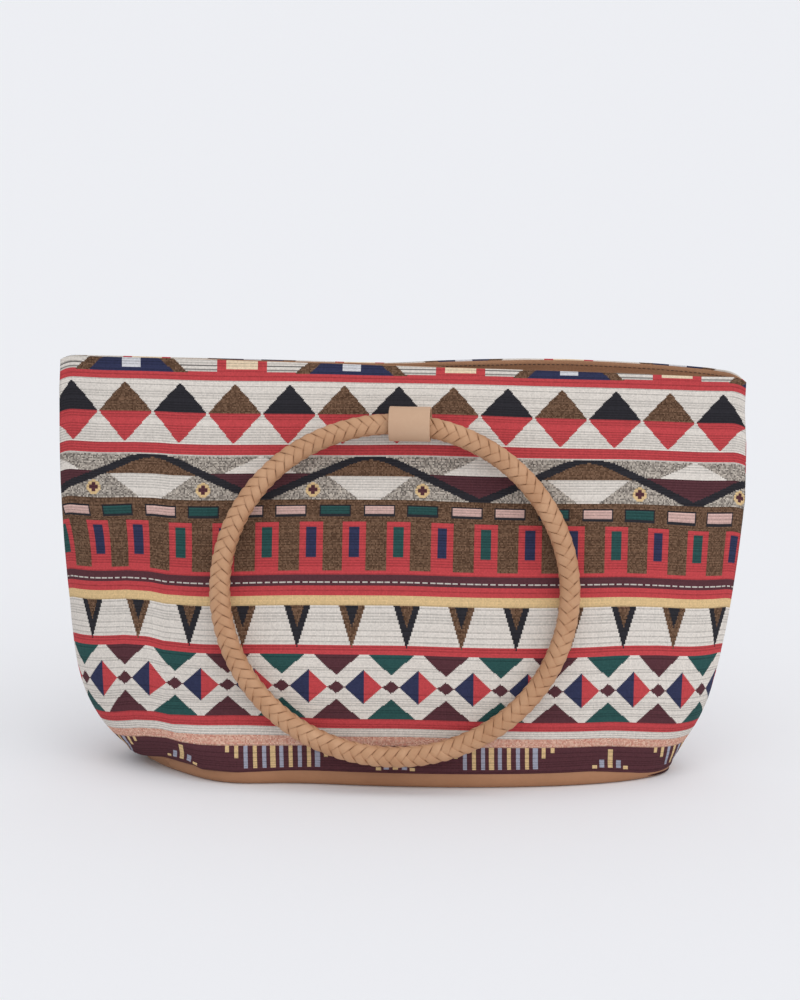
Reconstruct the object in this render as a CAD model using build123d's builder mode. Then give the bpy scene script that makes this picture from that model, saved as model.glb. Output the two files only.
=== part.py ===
import math
import os

from build123d import *

os.makedirs("parts", exist_ok=True)

# Overall sizes, in millimetres. X is the width, -Y the front and Z is up.
bag_height = 270.0
base_half_width = 175.0
base_half_depth = 62.0
rim_height = 12.0
leather_thick = 2.5
base_edge_radius = 4.0
fabric_thick = 1.4
lining_thick = 0.9
lining_gap = 4.2
lining_top_gap = 0.3

# The woven body, level by level from the base rim to the mouth, as shares of its height and of the base.
level_height_shares = [0.0, 0.07, 0.194, 0.4, 0.69, 0.884, 1.0]
level_width_shares = [1.0, 1.131, 1.22, 1.269, 1.297, 1.306, 1.314]
level_depth_shares = [1.0, 1.065, 1.081, 0.984, 0.742, 0.49, 0.3]
body_height = bag_height - rim_height
level_heights = [rim_height + body_height * share for share in level_height_shares]
level_half_widths = [base_half_width * share for share in level_width_shares]
level_half_depths = [base_half_depth * share for share in level_depth_shares]

# 1 gives an oval section with round ends, and a third gives a lens with sharp ends.
level_round_shares = [1.0, 0.98, 0.93, 0.8, 0.6, 0.43, 0.34]

# The upper levels bulge more towards the right.
level_lean_shares = [0.0, 0.0, 0.0, 0.03, 0.12, 0.35, 0.7]

# How far the slack cloth stands towards the back of those arcs, at six places from left to right, as shares
# of base_half_depth. The mouth is nearly shut at the left, and its back stands open at the right.
front_slack_shares = {
    4: [-0.07, 0.05, 0.0, 0.13, 0.14, 0.0],
    5: [-0.23, 0.27, 0.21, -0.63, 0.92, -0.11],
    6: [-0.2, 0.21, 0.11, 0.02, 0.53, 0.02],
}
back_slack_shares = {
    5: [0.0, 0.13, -0.5, 0.23, 0.06, 0.45],
    6: [0.0, 1.19, -2.88, 1.85, -0.32, 1.3],
}
no_slack_shares = [0.0, 0.0, 0.0, 0.0, 0.0, 0.0]

# The leather loops that hold the rings, one on each panel.
loop_offset = 4.0
loop_drop = 37.0
loop_height = bag_height - loop_drop
loop_half_width = 14.0
loop_inner_radius = 9.5
strap_thick = 1.5
loop_stand_off = 2.4
tail_length = 5.5
slit_clearance = 0.1

# The braided ring handles, a little wider than tall, which rest on the widest level of the panels.
ring_offset = -5.0
ring_height_share = 0.4635
ring_oval_share = 1.0545
ring_half_height = ring_height_share * loop_height
ring_half_width = ring_oval_share * ring_half_height
ring_rest_gap = 3.8
rest_level = 2
cord_crest_radius = 7.2
cord_groove_radius = 6.3
cord_seam_radius = 6.6
braid_pitches = 92
braid_rows = 4
row_columns = 2
row_slide = 2
path_samples = 2400

# How far a cutting shape runs past what it cuts.
overrun = 20.0

# A cubic arc reaches three quarters of the depth of its inner control points.
bulge_share = 4 / 3

# Each arc starts as a cubic and is raised to an order that has a control point for each slack share.
cubic_order = 3
raised_order = len(no_slack_shares) + 1
halvings = 40


def raised_points(points):
    """The control points of the same cubic arc, raised to the higher order."""
    extra = raised_order - cubic_order
    raised = []
    for i in range(raised_order + 1):
        spot = [0.0, 0.0]
        for j, point in enumerate(points):
            if 0 <= i - j <= extra:
                weight = math.comb(cubic_order, j) * math.comb(extra, i - j) / math.comb(raised_order, i)
                spot = [spot[0] + weight * point[0], spot[1] + weight * point[1]]
        raised.append(spot)
    return raised


def arc_points(level, inset, side):
    """The control points of one side of the section at a level, moved in by inset."""
    half_width = level_half_widths[level]
    reach = bulge_share * level_half_depths[level]
    shoulder = half_width * (1 - level_round_shares[level])
    end = half_width - inset * math.hypot(shoulder, reach) / reach
    lean = level_lean_shares[level] * reach
    deep = reach - bulge_share * inset
    near = level_round_shares[level] * end
    cubic = [
        (-end, 0),
        (-near, side * (deep - lean)),
        (near, side * (deep + lean)),
        (end, 0),
    ]
    slack_shares = front_slack_shares if side < 0 else back_slack_shares
    slack = [0.0, *slack_shares.get(level, no_slack_shares), 0.0]
    return [
        (x, y + share * base_half_depth) for (x, y), share in zip(raised_points(cubic), slack)
    ]


def section(level, inset, height):
    """A closed section of the body at a height, from its front arc and its back arc."""
    with BuildSketch(Plane.XY.offset(height)) as made:
        with BuildLine():
            Bezier(*arc_points(level, inset, -1))
            Bezier(*arc_points(level, inset, 1))
        make_face()
    return made.sketch


def wall_sections(insets):
    """The body's sections from the rim to the mouth, each with its own inset."""
    return [section(i, inset, level_heights[i]) for i, inset in enumerate(insets)]


no_insets = [0 for _ in level_heights]
panel_insets = [fabric_thick for _ in level_heights]
lining_insets = [fabric_thick + lining_gap for _ in level_heights]
lining_insets[-1] = fabric_thick + lining_top_gap
lining_insets[0] = leather_thick + lining_gap
skin_insets = [inset + lining_thick for inset in lining_insets]


def arc_spot(points, place):
    """The point of a raised arc at a place from 0 to 1."""
    spot = [0.0, 0.0]
    for i, point in enumerate(points):
        weight = math.comb(raised_order, i) * place**i * (1 - place) ** (raised_order - i)
        spot = [spot[0] + weight * point[0], spot[1] + weight * point[1]]
    return spot


def panel_depth(level, x, side):
    """How deep a panel's outer face is at a level and an x."""
    points = arc_points(level, 0, side)
    low = 0.0
    high = 1.0
    for _ in range(halvings):
        middle = (low + high) / 2
        low, high = (middle, high) if arc_spot(points, middle)[0] < x else (low, middle)
    return side * arc_spot(points, low)[1]


def panel_point(height, side):
    """Where a panel's outer face stands at loop_offset, as its depth and its slope."""
    above = next(i for i, z in enumerate(level_heights) if z > height)
    low = level_heights[above - 1]
    high = level_heights[above]
    share = (height - low) / (high - low)
    depths = [panel_depth(level, loop_offset, side) for level in (above - 1, above)]
    slope = (depths[0] - depths[1]) / (high - low)
    return depths[0] + share * (depths[1] - depths[0]), slope


loop_outer_radius = loop_inner_radius + strap_thick
hinge_reach = loop_outer_radius + loop_stand_off
ring_rest_depth = level_half_depths[rest_level] + ring_rest_gap


def hinge_point(side):
    """The depth and height of the cord's middle in its loop, and how far the ring leans out below it."""
    depth, slope = panel_point(loop_height, side)
    angle = math.atan(slope)
    depth += hinge_reach * math.cos(angle)
    height = loop_height + hinge_reach * math.sin(angle)
    lean = math.atan2(ring_rest_depth - depth, height - level_heights[rest_level])
    return depth, height, lean


def loop_plane(side):
    """A plane across the loop: its x leaves the panel, its y runs along the panel, its z is along X."""
    depth, slope = panel_point(loop_height, side)
    angle = math.atan(slope)
    out = (0, side * math.cos(angle), math.sin(angle))
    return Plane(origin=(loop_offset, side * depth, loop_height), x_dir=out, z_dir=(1, 0, 0))


def panel(side):
    """One woven panel from side seam to side seam, with a slit for its loop."""
    reach = 2 * max(level_half_widths)
    outward = Align.MAX if side < 0 else Align.MIN
    with BuildPart() as made:
        loft(wall_sections(no_insets))
        loft(wall_sections(panel_insets), mode=Mode.SUBTRACT)
        Box(reach, reach, reach, align=(Align.CENTER, outward, Align.MIN), mode=Mode.INTERSECT)
        with BuildSketch(loop_plane(side)):
            Rectangle(overrun, 2 * (strap_thick + slit_clearance))
        extrude(amount=loop_half_width + slit_clearance, both=True, mode=Mode.SUBTRACT)
    return made


def loop(side, held_by):
    """A strap bent round the cord, both ends through the panel's slit and spread behind it."""
    tail_reach = 2 * strap_thick
    with BuildPart() as made:
        with BuildSketch(loop_plane(side)):
            with Locations((hinge_reach, 0)):
                Circle(loop_outer_radius)
            Rectangle(
                tail_reach + hinge_reach,
                2 * strap_thick,
                align=(Align.MIN, Align.CENTER),
                mode=Mode.ADD,
            )
            with Locations((-fabric_thick - strap_thick, 0)):
                Rectangle(
                    fabric_thick + strap_thick,
                    2 * strap_thick,
                    align=(Align.MIN, Align.CENTER),
                )
                Rectangle(
                    tail_reach - fabric_thick,
                    2 * tail_length,
                    align=(Align.MIN, Align.CENTER),
                )
            with Locations((hinge_reach, 0)):
                Circle(loop_inner_radius, mode=Mode.SUBTRACT)
        extrude(amount=loop_half_width, both=True)
        add(held_by, mode=Mode.SUBTRACT)
    return made


def ring_path():
    """Small turns round the oval ring, and the length round it to each of them."""
    turns = [2 * math.pi * i / path_samples for i in range(path_samples + 1)]
    spots = [
        (ring_half_width * math.sin(turn), ring_half_height * math.cos(turn)) for turn in turns
    ]
    lengths = [0.0]
    for before, after in zip(spots, spots[1:]):
        lengths.append(lengths[-1] + math.dist(before, after))
    return turns, lengths


ring_turns, ring_lengths = ring_path()
ring_length = ring_lengths[-1]

# The cord's middle height inside the loop, above the ring's centre.
loop_ends = [loop_offset - loop_half_width, loop_offset + loop_half_width]
loop_turns = [math.asin((x - ring_offset) / ring_half_width) for x in loop_ends]
cord_rise = ring_half_height * (math.cos(loop_turns[0]) + math.cos(loop_turns[1])) / 2


def ring_frame(length):
    """The centre of the cord at a length round the ring, and its outward direction, in the ring's plane."""
    length = length % ring_length
    low = 0
    high = path_samples
    while high - low > 1:
        middle = (low + high) // 2
        low, high = (middle, high) if ring_lengths[middle] <= length else (low, middle)
    share = (length - ring_lengths[low]) / (ring_lengths[high] - ring_lengths[low])
    turn = ring_turns[low] + share * (ring_turns[high] - ring_turns[low])
    across = ring_half_height * math.sin(turn)
    upward = ring_half_width * math.cos(turn)
    size = math.hypot(across, upward)
    centre = (ring_half_width * math.sin(turn), ring_half_height * math.cos(turn))
    return centre, (across / size, upward / size)


def braid_point(half_pitch, column, side):
    """A corner of the braided surface, at a half pitch along the cord and a column round it."""
    row, step = divmod(column, row_columns)
    share = step / row_columns
    even = row % 2 == 0
    slide = row_slide * (share if even else 1 - share)
    crest = (half_pitch % 2 == 1) == even
    radius = cord_seam_radius
    if step:
        radius = cord_crest_radius if crest else cord_groove_radius
    half_length = ring_length / (2 * braid_pitches)
    centre, out = ring_frame(half_length * (half_pitch + slide))
    angle = 2 * math.pi * column / (braid_rows * row_columns)
    x = ring_offset + centre[0] + radius * math.cos(angle) * out[0]
    high = centre[1] - cord_rise + radius * math.cos(angle) * out[1]
    thick = radius * math.sin(angle)
    hinge_depth, hinge_height, lean = hinge_point(side)
    depth = hinge_depth - high * math.sin(lean) + thick * math.cos(lean)
    height = hinge_height + high * math.cos(lean) + thick * math.sin(lean)
    return (x, side * depth, height)


def ring(side):
    """One closed braided ring, with a flat facet on each face of every strap that shows."""
    steps = 2 * braid_pitches
    columns = braid_rows * row_columns
    grid = [[braid_point(i, j, side) for j in range(columns)] for i in range(steps)]
    facets = []
    for i in range(steps):
        for j in range(columns):
            a = grid[i][j]
            b = grid[(i + 1) % steps][j]
            c = grid[(i + 1) % steps][(j + 1) % columns]
            d = grid[i][(j + 1) % columns]
            for corners in ((a, b, c), (a, c, d)):
                facets.append(Face(Wire.make_polygon(corners)))
    with BuildPart() as made:
        add(Solid(Shell(facets)), clean=False)
    return made


front_panel = panel(-1)
front_panel.part.label = "front_panel"
export_step(front_panel.part, "parts/front_panel.step")

back_panel = panel(1)
back_panel.part.label = "back_panel"
export_step(back_panel.part, "parts/back_panel.step")

# The oval leather base with its upturned rim.
base_outline = section(0, 0, 0)
base_hollow = section(0, leather_thick, leather_thick)
with BuildPart() as base:
    extrude(base_outline, amount=rim_height)
    fillet(base.faces().sort_by(Axis.Z)[0].edges(), radius=base_edge_radius)
    extrude(base_hollow, amount=rim_height, mode=Mode.SUBTRACT)
base.part.label = "base"
export_step(base.part, "parts/base.step")

# The lining hangs from the mouth and lies on the base.
lining_foot = section(0, lining_insets[0], leather_thick)
skin_foot = section(0, skin_insets[0], leather_thick + lining_thick)
lining_sections = wall_sections(lining_insets)
skin_sections = wall_sections(skin_insets)
with BuildPart() as lining:
    loft(lining_sections)
    extrude(lining_foot, amount=rim_height - leather_thick)
    loft(skin_sections, mode=Mode.SUBTRACT)
    extrude(skin_foot, amount=rim_height - leather_thick - lining_thick, mode=Mode.SUBTRACT)
lining.part.label = "lining"
export_step(lining.part, "parts/lining.step")

front_loop = loop(-1, front_panel.part)
front_loop.part.label = "front_loop"
export_step(front_loop.part, "parts/front_loop.step")

back_loop = loop(1, back_panel.part)
back_loop.part.label = "back_loop"
export_step(back_loop.part, "parts/back_loop.step")

front_ring = ring(-1)
front_ring.part.label = "front_ring"
export_step(front_ring.part, "parts/front_ring.step")

back_ring = ring(1)
back_ring.part.label = "back_ring"
export_step(back_ring.part, "parts/back_ring.step")
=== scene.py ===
"""The tote bag's looks: woven panels, a leather base, a lining and two braided ring handles."""

import math
from functools import partial, reduce

import bpy
import numpy as np
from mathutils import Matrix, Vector


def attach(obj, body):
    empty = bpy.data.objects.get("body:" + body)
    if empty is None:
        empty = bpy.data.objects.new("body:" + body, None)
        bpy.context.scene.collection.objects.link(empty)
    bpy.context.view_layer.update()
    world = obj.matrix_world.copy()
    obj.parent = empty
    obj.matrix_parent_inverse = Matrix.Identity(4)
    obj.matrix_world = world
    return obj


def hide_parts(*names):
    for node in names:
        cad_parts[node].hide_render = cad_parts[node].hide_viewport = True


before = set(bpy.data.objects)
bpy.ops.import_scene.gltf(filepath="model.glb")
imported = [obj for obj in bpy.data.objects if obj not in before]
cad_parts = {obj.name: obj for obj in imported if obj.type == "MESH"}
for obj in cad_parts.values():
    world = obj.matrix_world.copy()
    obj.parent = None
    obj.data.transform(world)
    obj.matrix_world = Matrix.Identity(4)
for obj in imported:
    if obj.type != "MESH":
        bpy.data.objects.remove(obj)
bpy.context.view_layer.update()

scene = bpy.context.scene
MM = 0.001
MM_PER_METRE = 1000

# The levels of the panels from the base rim to the mouth, as in the solids. All sizes are in millimetres.
LEVEL_Z = [12.0, 30.06, 62.05, 115.2, 190.02, 240.07, 270.0]
LEVEL_HALF_WIDTH = [175.0, 197.9, 213.5, 222.1, 227.0, 228.55, 229.95]
LEVEL_HALF_DEPTH = [62.0, 66.0, 67.0, 61.0, 46.0, 30.4, 18.6]
LEVEL_ROUND = [1.0, 0.98, 0.93, 0.8, 0.6, 0.43, 0.34]
LEVEL_LEAN = [0.0, 0.0, 0.0, 0.03, 0.12, 0.35, 0.7]
RIM_LEVEL = 0.0
MOUTH_LEVEL = 6.0
RIM_Z = 12.0
MOUTH_Z = 270.0
HALF_MOUTH = 230.0
LOOP_X = 4.0
# A cubic arc reaches three quarters of the depth of its inner control points.
BULGE_SHARE = 4 / 3
CURVE_SAMPLES = 801
LEVEL_SAMPLES = 601

# The mouth's back edge behind the straight line between the corners, from the photograph, by x.
BACK_X = [-230.0, -205, -100, -30, -10, 5, 20, 46, 77, 107, 138, 168, 186, 205, 218, 226, 230]
BACK_Y = [0.0, 1.5, 2.0, 2.0, 4, 11, 20, 32, 43, 48, 47.5, 45, 41, 35, 27, 14, 0]
# The mouth's front edge before that line: its ends, its bow, and how soon it leaves the corners.
FRONT_OUT = 4.5
FRONT_BOW = 4.0
FRONT_END = 30.0
# The height share from which each panel comes over to the mouth's edge.
MOUTH_FROM_SHARE = {-1: 0.45, 1: 0.82}
# How much the loop keeps the cloth where it is: the middle and width of that along x and z.
HOLD_SHARE = 0.8
HOLD_X = (LOOP_X, 55.0)
HOLD_Z = (234.0, 26.0)

# How far the base's front edge is pushed out at the left, where, and how high up the cloth follows.
RIM_PUSH = 14.0
RIM_PUSH_X = (-118.0, 36.0)
RIM_PUSH_DEPTH = 45.0
RIM_PUSH_SHARE = 0.16

# Ripples of the cloth: size, length and phase along x, length and phase along z.
RIPPLES = [(1.0, 41.0, 1.3, 57.0, 0.7), (0.6, 23.0, 2.0, 33.0, 0.0)]
RIPPLE_SIZE = 0.9
RIPPLE_SINK = 1.2
RIPPLE_END = 45.0

# How far the slack cloth stands to the left or right of the solids' side edges, by height share.
SIDE_SHARE = [0.0, 0.05, 0.13, 0.2, 0.285, 0.36, 0.52, 0.68, 0.83, 0.92, 1.0]
LEFT_SHIFT = [-12.5, -8.6, -8.0, -7.0, -5.3, -4.2, -4.0, -3.3, -1.9, -0.9, 1.2]
RIGHT_SHIFT = [-3.0, -5.2, -6.5, -7.5, -7.2, -6.2, -4.0, -2.2, -3.4, -5.5, -6.0]
LEFT_X = (-60, -200)
RIGHT_X = (60, 215)
# How far the whole of the cloth hangs over to the left above the base, and by which height share.
SWAY = -3.5
SWAY_SHARE = 0.06

# How far the front's lower edge hangs above or below the base seam, by x, and how that fades upwards.
HANG_X = [-185.0, -165, -148, -135, -126, -105, -55, 0, 60, 110, 150, 172]
HANG_Z = [0.0, 2.5, 5.0, 2.0, -2.6, -3.0, -0.9, -0.5, -0.8, -1.5, -1.5, -2.5]
HANG_SHARE = 0.16
HANG_FADE = 1.5
# How the cloth sinks at the base's ends, at the mouth's corners and in its upper half.
END_SINK = 6.5
END_SINK_X = (118, 172)
END_SINK_SHARE = 0.11
CORNER_SINK = 3.2
CORNER_WIDTH = 10.0
CORNER_SHARE = 0.9
TOP_SINK = 1.1
TOP_SINK_SHARE = 0.5
# How the mouth slopes down to the right, and how far its middle is bowed up.
MOUTH_SLOPE = -4.6
MOUTH_BOW = 1.6


def spline(values, at):
    """A natural cubic spline through values at 0, 1, 2 and so on, read at the places given."""
    values = np.asarray(values, float)
    count = len(values)
    system = np.zeros((count, count))
    right = np.zeros(count)
    system[0, 0] = system[-1, -1] = 1
    for i in range(1, count - 1):
        system[i, i - 1 : i + 2] = 1, 4, 1
        right[i] = 6 * (values[i - 1] - 2 * values[i] + values[i + 1])
    bend = np.linalg.solve(system, right)
    i = np.clip(np.floor(at).astype(int), 0, count - 2)
    t = at - i
    s = 1 - t
    return values[i] * s + values[i + 1] * t + (s**3 - s) * bend[i] / 6 + (t**3 - t) * bend[i + 1] / 6


def ease(low, high, x):
    """0 at low, 1 at high, with a smooth start and end."""
    t = np.clip((np.asarray(x, float) - low) / (high - low), 0, 1)
    return t * t * (3 - 2 * t)


def hump(x, centre, width):
    """1 at centre, falling smoothly to nothing on both sides."""
    return np.exp(-(((x - centre) / width) ** 2))


def run_along(points):
    """How far along a line each point is, or along each column of a grid."""
    steps = np.linalg.norm(np.diff(points, axis=0), axis=-1)
    return np.concatenate([np.zeros_like(steps[:1]), np.cumsum(steps, axis=0)])


def unit(vectors):
    """The same directions at length 1."""
    return vectors / np.linalg.norm(vectors, axis=-1, keepdims=True)


def section(level, t):
    """The x and depth of half a section at a level, for Bezier parameters t."""
    width = spline(LEVEL_HALF_WIDTH, level)
    deep = spline(LEVEL_HALF_DEPTH, level)
    full = spline(LEVEL_ROUND, level)
    lean = spline(LEVEL_LEAN, level)
    low = 3 * (1 - t) ** 2 * t
    high = 3 * (1 - t) * t**2
    x = width * (-((1 - t) ** 3) - full * low + full * high + t**3)
    return x, deep * BULGE_SHARE * ((1 - lean) * low + (1 + lean) * high)


def section_line(level, columns):
    """The x and depth of points evenly spaced along half a section."""
    x, depth = section(level, np.linspace(0, 1, CURVE_SAMPLES))
    length = run_along(np.stack([x, depth], -1))
    place = np.linspace(0, length[-1], columns)
    return np.interp(place, length, x), np.interp(place, length, depth)


def mouth_lines(x):
    """Where the photograph has the front and back of the mouth: shut at the left, open at the right."""
    near = np.clip((HALF_MOUTH - np.abs(x)) / FRONT_END, 0, 1)
    bow = 1 - np.clip(np.abs(x) / HALF_MOUTH, 0, 1) ** 2
    return -(FRONT_OUT + FRONT_BOW * bow) * near, np.interp(x, BACK_X, BACK_Y)


def rim_push(x, y):
    """How far the base's front edge is pushed out at the left, as in the photograph."""
    return RIM_PUSH * hump(x, *RIM_PUSH_X) * ease(0, RIM_PUSH_DEPTH, -y)


def ripple(x, z, share, side):
    """How far out the cloth's ripples stand, which fade towards its edges."""
    wave = -RIPPLE_SINK
    for size, x_length, x_phase, z_length, z_phase in RIPPLES:
        wave = wave + size * np.sin(x / x_length + x_phase * side) * np.sin(z / z_length + z_phase)
    calm = np.sqrt(np.clip(4 * share * (1 - share), 0, 1))
    to_seam = np.interp(z, LEVEL_Z, LEVEL_HALF_WIDTH) - np.abs(x)
    return RIPPLE_SIZE * calm * wave * ease(0, RIPPLE_END, to_seam)


def settle(points, side):
    """Moves points of the solids' surface to the slack shape of the photograph."""
    x, y, z = np.moveaxis(points, -1, 0)
    share = (z - RIM_Z) / (MOUTH_Z - RIM_Z)
    y = y - rim_push(x, y) * (1 - ease(0, RIM_PUSH_SHARE, share))
    mouth_x = np.clip(x, -HALF_MOUTH, HALF_MOUTH)
    front, back = mouth_lines(mouth_x)
    solid_mouth = section(MOUTH_LEVEL, np.linspace(0, 1, CURVE_SAMPLES))
    shift = (front if side < 0 else back) - side * np.interp(mouth_x, *solid_mouth)
    held = 1 - HOLD_SHARE * hump(x, *HOLD_X) * hump(z, *HOLD_Z)
    y = y + ease(MOUTH_FROM_SHARE[side], 1.0, share) * held * shift
    y = y + side * ripple(x, z, share, side)

    bow = 1 - (mouth_x / HALF_MOUTH) ** 2
    low = np.clip(1 - share / END_SINK_SHARE, 0, 1) ** 2
    end = ease(*END_SINK_X, np.abs(x))
    corner = np.clip(1 - (HALF_MOUTH - np.abs(x)) / CORNER_WIDTH, 0, 1) ** 2 * ease(CORNER_SHARE, 1, share)
    z = z + np.clip(share, 0, 1) * (MOUTH_SLOPE * mouth_x / HALF_MOUTH + MOUTH_BOW * bow)
    z = z - END_SINK * low * end - CORNER_SINK * corner - TOP_SINK * ease(TOP_SINK_SHARE, 1, share)
    if side < 0:
        z = z + np.interp(x, HANG_X, HANG_Z) * np.clip(1 - share / HANG_SHARE, 0, 1) ** HANG_FADE

    sway = SWAY * ease(0, SWAY_SHARE, share)
    x = x + sway + np.interp(share, SIDE_SHARE, LEFT_SHIFT) * ease(*LEFT_X, x)
    x = x + np.interp(share, SIDE_SHARE, RIGHT_SHIFT) * ease(*RIGHT_X, x)
    return np.stack([x, y, z], -1)


def panel_grid(side, columns, rows):
    """A panel's outer face as a grid from rim to mouth, with its cloth coordinates u and v."""
    level = np.linspace(RIM_LEVEL, MOUTH_LEVEL, LEVEL_SAMPLES)
    middle_depth = section(level, 0.5)[1]
    run = run_along(np.stack([spline(LEVEL_Z, level), middle_depth], -1))
    row_level = np.interp(np.linspace(0, run[-1], rows), run, level)
    points = np.zeros((rows, columns, 3))
    for i, place in enumerate(row_level):
        x, depth = section_line(place, columns)
        points[i, :, 0] = x
        points[i, :, 1] = side * depth
    points[:, :, 2] = spline(LEVEL_Z, row_level)[:, None]
    points = settle(points, side)
    u = run_along(points.swapaxes(0, 1)).T
    u = u - np.array([np.interp(0.0, points[i, :, 0], u[i]) for i in range(rows)])[:, None]
    v = run_along(points)
    return points, u, v / v[-1] * v[-1].mean()


def outward(points, side):
    """Unit normals of a grid, away from the bag's inside."""
    return unit(np.cross(np.gradient(points, axis=1), np.gradient(points, axis=0)) * -side)


def grid_faces(rows, columns, flip=False, closed=False, looped=False, first=0):
    """Quads of a grid in row order. Closed joins each row's ends, and looped the last row to the first."""
    faces = []
    for i in range(rows if looped else rows - 1):
        here = first + i * columns
        ahead = first + (i + 1) % rows * columns
        for j in range(columns if closed else columns - 1):
            k = (j + 1) % columns
            quad = (here + j, here + k, ahead + k, ahead + j)
            faces.append(quad[::-1] if flip else quad)
    return faces


def add_object(name, data):
    """A new object in the scene."""
    obj = bpy.data.objects.new(name, data)
    scene.collection.objects.link(obj)
    return obj


def mesh_object(name, points, faces, material, uv=None, uv_name="place"):
    """A smooth mesh from points in millimetres, with a UV map in metres where one is given."""
    mesh = bpy.data.meshes.new(name)
    mesh.from_pydata((np.asarray(points).reshape(-1, 3) * MM).tolist(), [], faces)
    mesh.polygons.foreach_set("use_smooth", [True] * len(mesh.polygons))
    if uv is not None:
        layer = mesh.uv_layers.new(name=uv_name)
        index = [loop.vertex_index for loop in mesh.loops]
        flat = np.asarray(uv, float).reshape(-1, 2)[index]
        layer.data.foreach_set("uv", (flat * MM).ravel())
    mesh.materials.append(material)
    return add_object(name, mesh)


def solidify(obj, thickness, offset=-1.0):
    """Gives a sheet its thickness, and returns the modifier."""
    change = obj.modifiers.new("thickness", "SOLIDIFY")
    change.thickness = thickness * MM
    change.offset = offset
    return change


# Materials. A Mix node's sockets for colours: its factor and two colours, and its result.
MIX_INPUTS = (0, 6, 7)
MIX_RESULT = 2


def linear(*rgb):
    """A colour given as 0 to 255 screen values, as linear values with alpha."""
    out = []
    for value in rgb:
        value /= 255
        out.append(value / 12.92 if value <= 0.04045 else ((value + 0.055) / 1.055) ** 2.4)
    return (*out, 1.0)


def operator(operation):
    """A method that works out one operation on a field and another value."""
    return lambda self, other: work(operation, self, other)


class Field:
    """A number at each point of a surface, worked out by Math nodes."""

    tree = None
    __add__ = __radd__ = operator("ADD")
    __mul__ = __rmul__ = operator("MULTIPLY")
    __sub__ = operator("SUBTRACT")
    __truediv__ = operator("DIVIDE")
    __lt__ = operator("LESS_THAN")
    __gt__ = operator("GREATER_THAN")

    def __init__(self, socket):
        self.socket = socket

    def __rsub__(self, other):
        return work("SUBTRACT", other, self)


def feed(socket, value):
    """Gives a socket a field, another socket's output or a fixed value."""
    value = value.socket if isinstance(value, Field) else value
    if isinstance(value, bpy.types.NodeSocket):
        Field.tree.links.new(value, socket)
    else:
        socket.default_value = value


def add_node(kind, **settings):
    """A new node in the tree that is worked on."""
    node = Field.tree.nodes.new(kind)
    for name, value in settings.items():
        setattr(node, name, value)
    return node


def work(operation, *values):
    """One Math node."""
    node = add_node("ShaderNodeMath", operation=operation)
    for socket, value in zip(node.inputs, values):
        feed(socket, value)
    return Field(node.outputs[0])


absolute = partial(work, "ABSOLUTE")
fract = partial(work, "FRACT")
floor = partial(work, "FLOOR")
largest = partial(work, "MAXIMUM")
smallest = partial(work, "MINIMUM")


def is_even(a):
    """1 where a whole number is even."""
    return fract(a / 2) < 0.25


def box(across, up, size):
    """1 inside a box, from the distances to its middle and its half sizes."""
    return (across < size[0]) * (up < size[1])


def rhomb(across, up, size):
    """1 inside a diamond, from the distances to its middle and its half sizes."""
    return (across / size[0] + up / size[1]) < 1


def contrast(a, gain):
    """A field from 0 to 1, stretched about its middle."""
    return work("MULTIPLY_ADD", a, gain, (1 - gain) / 2)


def thread_rows(place, thread):
    """The round backs of threads side by side, 1 on top of each and 0 between them."""
    return absolute(work("SINE", place * (math.pi / thread)))


def mix(factor, low, high, blend="MIX"):
    """A colour between two colours, each a socket or a fixed colour."""
    node = add_node("ShaderNodeMix", data_type="RGBA", blend_type=blend)
    for place, value in zip(MIX_INPUTS, (factor, low, high)):
        feed(node.inputs[place], value)
    return node.outputs[MIX_RESULT]


def speckle(x, y, seed=0.0):
    """An even random number for each whole pair x, y."""
    place = add_node("ShaderNodeCombineXYZ")
    for socket, value in zip(place.inputs, (x, y, seed)):
        feed(socket, value)
    noise = add_node("ShaderNodeTexWhiteNoise", noise_dimensions="3D")
    feed(noise.inputs["Vector"], place.outputs[0])
    return Field(noise.outputs["Value"])


def surface(name, roughness, specular=0.5):
    """A new material and its shader, with its tree set as the one that is worked on."""
    material = bpy.data.materials.new(name)
    material.use_nodes = True
    Field.tree = material.node_tree
    shader = Field.tree.nodes["Principled BSDF"]
    feed(shader.inputs["Roughness"], roughness)
    feed(shader.inputs["Specular IOR Level"], specular)
    return material, shader


def cover(shader, colour, height, distance, strength):
    """Gives a surface its colour and its relief, with distance in metres."""
    feed(shader.inputs["Base Color"], colour)
    node = add_node("ShaderNodeBump")
    feed(node.inputs["Strength"], strength)
    feed(node.inputs["Distance"], distance)
    feed(node.inputs["Height"], height)
    feed(shader.inputs["Normal"], node.outputs[0])


def uv_places(uv_map):
    """The two coordinates of a UV map, in millimetres."""
    uv = add_node("ShaderNodeUVMap", uv_map=uv_map)
    parts = add_node("ShaderNodeSeparateXYZ")
    feed(parts.inputs[0], uv.outputs[0])
    return [Field(part) * MM_PER_METRE for part in parts.outputs[:2]]


def object_noise(scale, detail=2.0, kind="ShaderNodeTexNoise"):
    """Noise or another texture over the object's own place, with scale in cells per metre."""
    place = add_node("ShaderNodeTexCoord")
    texture = add_node(kind)
    feed(texture.inputs["Scale"], scale)
    feed(texture.inputs["Detail"], detail)
    feed(texture.inputs["Vector"], place.outputs["Object"])
    return Field(texture.outputs[0])


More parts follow.
